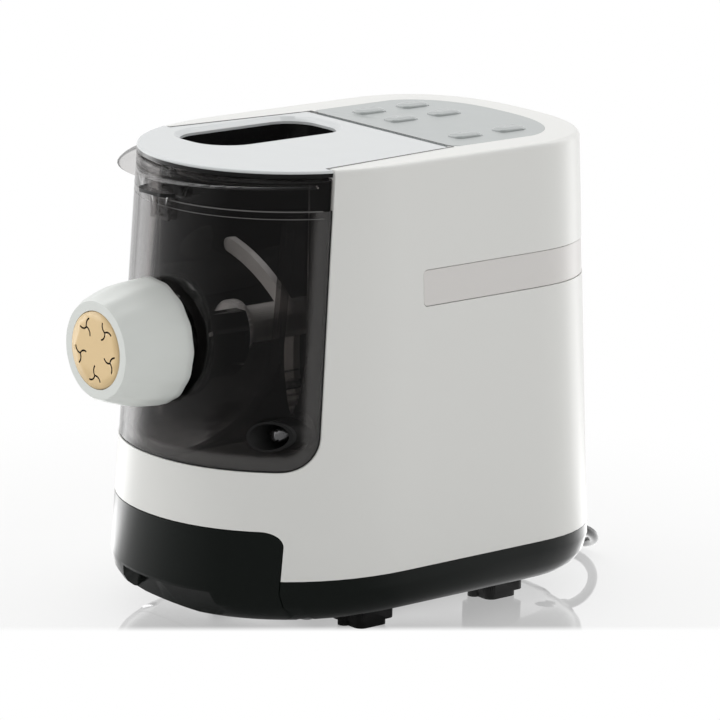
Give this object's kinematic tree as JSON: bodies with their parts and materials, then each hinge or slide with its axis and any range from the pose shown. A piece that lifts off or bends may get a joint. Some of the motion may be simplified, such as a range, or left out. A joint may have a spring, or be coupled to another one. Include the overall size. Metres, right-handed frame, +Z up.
{
  "type": "electric pasta maker",
  "caption": "Countertop electric pasta maker with a hinged filling lid, clear mixing chamber, extruding nozzle with a die, geared motor, push buttons and a die drawer.",
  "frame": {"origin": "on the floor under the middle of the appliance's length, cord not counted, on its centre plane", "axes": "+Z up, -Y towards the nozzle and the drawer, +X to the right seen from the nozzle end"},
  "size_m": [0.2437, 0.4747, 0.2919],
  "materials": {
    "white_shell": "glossy warm white moulded plastic",
    "band_white": "satin off-white trim",
    "black_shell": "satin black moulded plastic",
    "black_inner": "matt black moulded plastic",
    "foot_rubber": "matt black rubber",
    "seal_rubber": "black rubber seal",
    "smoke_clear": "smoke-tinted clear plastic",
    "smoke_chamber": "smoke-tinted clear plastic",
    "smoke_dark": "dark smoke plastic",
    "die_gold": "pale gold moulded plastic",
    "mixer_grey": "glossy light grey moulded plastic",
    "steel": "turned stainless steel",
    "gear_nylon": "natural nylon",
    "gear_brass": "cut brass",
    "motor_core": "lacquered laminations and copper winding",
    "motor_steel": "zinc-plated pressed steel",
    "fan_plastic": "black moulded plastic",
    "gearbox_alloy": "die-cast alloy",
    "bearing_bronze": "sintered bronze",
    "board_green": "green circuit board",
    "panel_silver": "satin silver-grey plate",
    "button_grey": "glossy silver-grey moulded plastic",
    "cord_black": "black flexible plastic"
  },
  "bodies": {
    "chassis": {"housing_shell": "white_shell", "rear_band": "band_white", "base_tub": "black_shell", "bay_liner": "black_inner", "cord_tie": "black_inner", "lid_switch": "black_inner", "key_switches": "black_inner", "feet": "foot_rubber", "chamber_gasket": "seal_rubber", "cover_seal": "seal_rubber", "stud_grommets": "seal_rubber", "shaft_seal": "seal_rubber", "front_cover": "smoke_clear", "mixing_chamber": "smoke_chamber", "extrusion_tube": "smoke_dark", "pasta_die": "die_gold", "intermediate_axle": "steel", "cover_studs": "steel", "base_screws": "steel", "gearbox_screws": "steel", "hinge_pins": "steel", "motor_can": "motor_steel", "gearbox_housing": "gearbox_alloy", "gearbox_cover": "gearbox_alloy", "shaft_bearings": "bearing_bronze", "power_board": "board_green", "control_board": "board_green", "control_panel": "panel_silver", "strain_relief": "cord_black", "mains_cord": "cord_black", "cord_coil": "cord_black", "plug": "cord_black"},
    "mixer": {"mixing_paddle": "mixer_grey", "auger": "mixer_grey", "output_shaft": "steel", "output_gear": "gear_nylon"},
    "intermediate": {"intermediate_gear": "gear_nylon"},
    "rotor": {"motor_pinion": "gear_brass", "motor_rotor": "motor_core", "motor_fan": "fan_plastic"},
    "lid": {"lid_panel": "white_shell", "lid_skirt": "smoke_clear", "hopper_chute": "smoke_dark"},
    "cap": {"nozzle_cap": "white_shell"},
    "drawer": {"drawer_front": "black_shell", "drawer_tray": "black_inner", "spare_dies": "die_gold"},
    "key_1": {"button_1": "button_grey"},
    "key_2": {"button_2": "button_grey"},
    "key_3": {"button_3": "button_grey"},
    "key_4": {"button_4": "button_grey"},
    "key_5": {"button_5": "button_grey"},
    "key_6": {"button_6": "button_grey"}
  },
  "joints": [
    {"name": "mixer_spin", "type": "hinge", "parent": "chassis", "child": "mixer", "pos_m": [0, 0.05, 0.18], "axis": [0, 1, 0], "continuous": true},
    {"name": "intermediate_spin", "type": "hinge", "parent": "chassis", "child": "intermediate", "pos_m": [0, 0.06, 0.12375], "axis": [0, 1, 0], "continuous": true},
    {"name": "rotor_spin", "type": "hinge", "parent": "chassis", "child": "rotor", "pos_m": [0, 0.1, 0.08625], "axis": [0, 1, 0], "continuous": true},
    {"name": "lid_hinge", "type": "hinge", "parent": "chassis", "child": "lid", "pos_m": [0, 0.0397, 0.286], "axis": [-1, 0, 0], "range_deg": [0, 85]},
    {"name": "cap_turn", "type": "hinge", "parent": "chassis", "child": "cap", "pos_m": [0, -0.15, 0.18], "axis": [0, -1, 0], "range_deg": [0, 60]},
    {"name": "drawer_slide", "type": "slide", "parent": "chassis", "child": "drawer", "axis": [0, -1, 0], "range_m": [0, 0.075]},
    {"name": "button_1_press", "type": "slide", "parent": "chassis", "child": "key_1", "axis": [0, 0, -1], "range_m": [0, 0.0012], "stiffness_N_per_m": 500, "springref_m": -0.0005},
    {"name": "button_2_press", "type": "slide", "parent": "chassis", "child": "key_2", "axis": [0, 0, -1], "range_m": [0, 0.0012], "stiffness_N_per_m": 500, "springref_m": -0.0005},
    {"name": "button_3_press", "type": "slide", "parent": "chassis", "child": "key_3", "axis": [0, 0, -1], "range_m": [0, 0.0012], "stiffness_N_per_m": 500, "springref_m": -0.0005},
    {"name": "button_4_press", "type": "slide", "parent": "chassis", "child": "key_4", "axis": [0, 0, -1], "range_m": [0, 0.0012], "stiffness_N_per_m": 500, "springref_m": -0.0005},
    {"name": "button_5_press", "type": "slide", "parent": "chassis", "child": "key_5", "axis": [0, 0, -1], "range_m": [0, 0.0012], "stiffness_N_per_m": 500, "springref_m": -0.0005},
    {"name": "button_6_press", "type": "slide", "parent": "chassis", "child": "key_6", "axis": [0, 0, -1], "range_m": [0, 0.0012], "stiffness_N_per_m": 500, "springref_m": -0.0005}
  ],
  "couplings": [
    {"joint": "intermediate_spin", "follows": "mixer_spin", "ratio": -4},
    {"joint": "rotor_spin", "follows": "mixer_spin", "ratio": 16}
  ]
}
